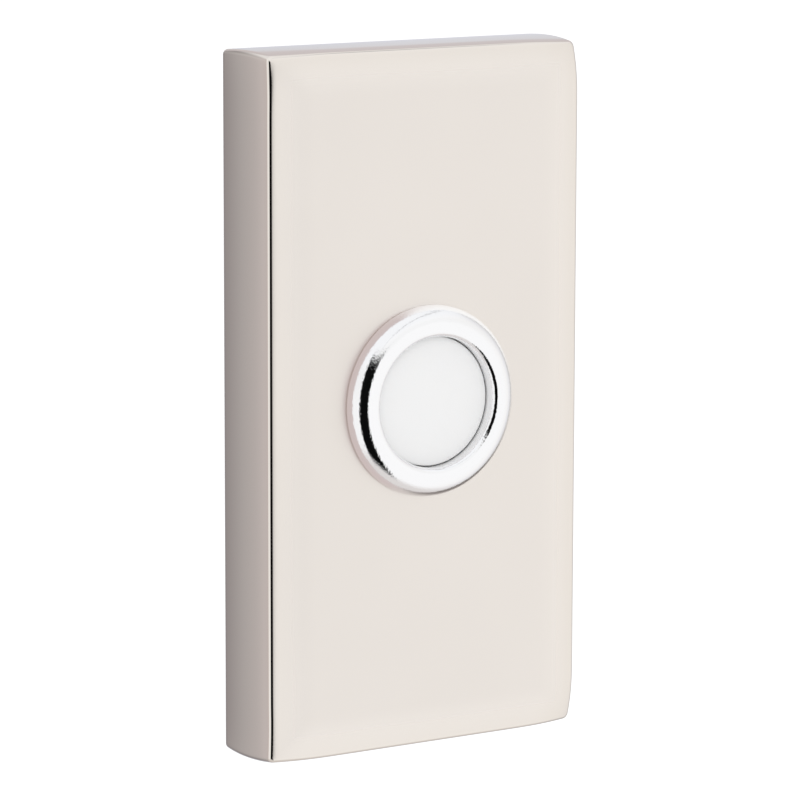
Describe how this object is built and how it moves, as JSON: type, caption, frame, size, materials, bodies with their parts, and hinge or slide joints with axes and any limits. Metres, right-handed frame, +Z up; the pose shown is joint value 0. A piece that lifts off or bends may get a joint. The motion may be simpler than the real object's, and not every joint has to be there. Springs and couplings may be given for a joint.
{
  "type": "doorbell push button",
  "caption": "Rectangular surface-mounted doorbell push: polished nickel cover plate with arched sides, chromed round bezel and a recessed white button that springs back.",
  "frame": {"origin": "on the wall plane, in the middle of the plate, halfway between the two wall screws", "axes": "+Z up, -Y out of the wall towards the visitor, +X to the right as the visitor sees it"},
  "size_m": [0.042, 0.0365, 0.0806],
  "materials": {
    "polished_nickel": "polished nickel plate on cast brass",
    "bright_chrome": "mirror chrome plate on turned brass",
    "opal_plastic": "satin opal white",
    "contact_bronze": "rolled spring bronze",
    "spring_steel": "drawn bright wire",
    "black_phenolic": "moulded, slightly glossy",
    "bare_brass": "bright machined brass",
    "board_laminate": "glass-fibre laminate with green mask",
    "lamp_resin": "clear to milky cast resin",
    "resistor_lacquer": "lacquered, with plain bands",
    "zinc_steel": "zinc-plated, slightly dull",
    "dark_steel": "blackened steel"
  },
  "bodies": {
    "base": {"cover_plate": "polished_nickel", "bezel_body": "bright_chrome", "return_spring": "spring_steel", "terminal_base": "black_phenolic", "contact_strip_left": "bare_brass", "contact_strip_right": "bare_brass", "terminal_screw_left": "bare_brass", "terminal_screw_right": "bare_brass", "cup_washer_left": "bare_brass", "cup_washer_right": "bare_brass", "lamp_board": "board_laminate", "pilot_lamp": "lamp_resin", "lamp_resistor": "resistor_lacquer", "lock_washer": "zinc_steel", "barrel_nut": "zinc_steel", "wall_plate": "zinc_steel", "wall_screw_upper": "zinc_steel", "wall_screw_lower": "zinc_steel", "grub_screw": "dark_steel"},
    "button": {"push_button": "opal_plastic", "contact_ring": "contact_bronze"}
  },
  "joints": [
    {"name": "button_push", "type": "slide", "parent": "base", "child": "button", "axis": [0, 1, 0], "range_m": [0, 0.0018], "stiffness_N_per_m": 600, "springref_m": -0.0033, "deforming": ["return_spring"]}
  ]
}
